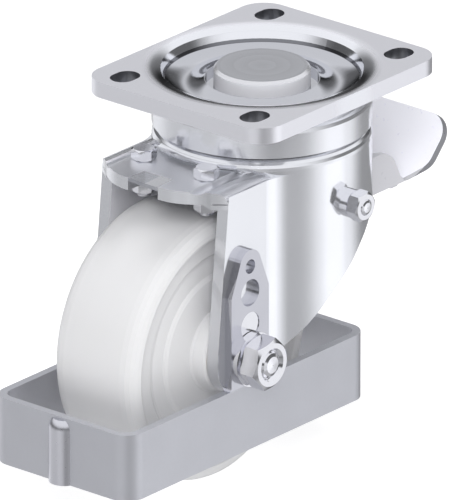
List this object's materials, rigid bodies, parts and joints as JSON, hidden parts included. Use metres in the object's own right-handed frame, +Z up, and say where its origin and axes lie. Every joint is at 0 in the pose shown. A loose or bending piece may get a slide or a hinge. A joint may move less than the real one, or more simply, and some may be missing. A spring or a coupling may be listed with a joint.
{
  "type": "swivel castor",
  "caption": "Swivel castor with a bolt-on top plate, forked steel housing, white wheel, leading foot brake pedal and an open foot guard frame round the wheel.",
  "frame": {"origin": "centre of the top plate's mounting face", "axes": "+Z up out of the mounting face, +X towards the leading side with the pedal, the wheel trails to -X with its axle along Y"},
  "size_m": [0.1886, 0.0944, 0.14],
  "materials": {
    "zinc": "zinc plated, satin",
    "bright_zinc": "bright zinc plated, polished by pressing",
    "nylon": "natural white cast nylon",
    "bronze": "machined bush",
    "ball_steel": "polished balls"
  },
  "bodies": {
    "plate": {"top_plate": "zinc", "race_cover": "bright_zinc", "kingpin": "zinc", "lower_race": "zinc", "kingpin_nut": "zinc", "upper_balls": "ball_steel", "lower_balls": "ball_steel"},
    "fork": {"fork": "bright_zinc", "swivel_bush": "bronze", "crown_screws": "bright_zinc", "crown_nuts": "bright_zinc", "guard_frame": "zinc", "guard_seam": "zinc", "guard_arm_near": "zinc", "guard_arm_far": "zinc", "locating_pins": "bright_zinc", "axle_bolt": "bright_zinc", "axle_sleeve": "zinc", "axle_washers": "bright_zinc", "axle_nut": "bright_zinc", "pivot_bolt": "bright_zinc", "pivot_sleeve": "zinc", "pivot_washers": "bright_zinc", "pivot_nut": "bright_zinc", "shoe_bracket": "zinc", "shoe_pin": "bright_zinc"},
    "wheel": {"wheel": "nylon", "wheel_bush_near": "bronze", "wheel_bush_far": "bronze"},
    "pedal": {"brake_pedal": "bright_zinc"},
    "shoe": {"brake_shoe": "zinc"}
  },
  "joints": [
    {"name": "swivel", "type": "hinge", "parent": "plate", "child": "fork", "pos_m": [0, 0, -0.0234], "axis": [0, 0, 1], "continuous": true},
    {"name": "wheel_spin", "type": "hinge", "parent": "fork", "child": "wheel", "pos_m": [-0.045, 0, -0.09], "axis": [0, 1, 0], "continuous": true},
    {"name": "brake_pedal", "type": "hinge", "parent": "fork", "child": "pedal", "pos_m": [0.001, 0, -0.0427], "axis": [0, 1, 0], "range_deg": [0, 18]},
    {"name": "brake_shoe", "type": "hinge", "parent": "fork", "child": "shoe", "pos_m": [-0.027, 0, -0.035], "axis": [0, 1, 0], "range_deg": [0, 3]}
  ],
  "couplings": [
    {"joint": "brake_shoe", "follows": "brake_pedal", "ratio": 0.16667}
  ]
}
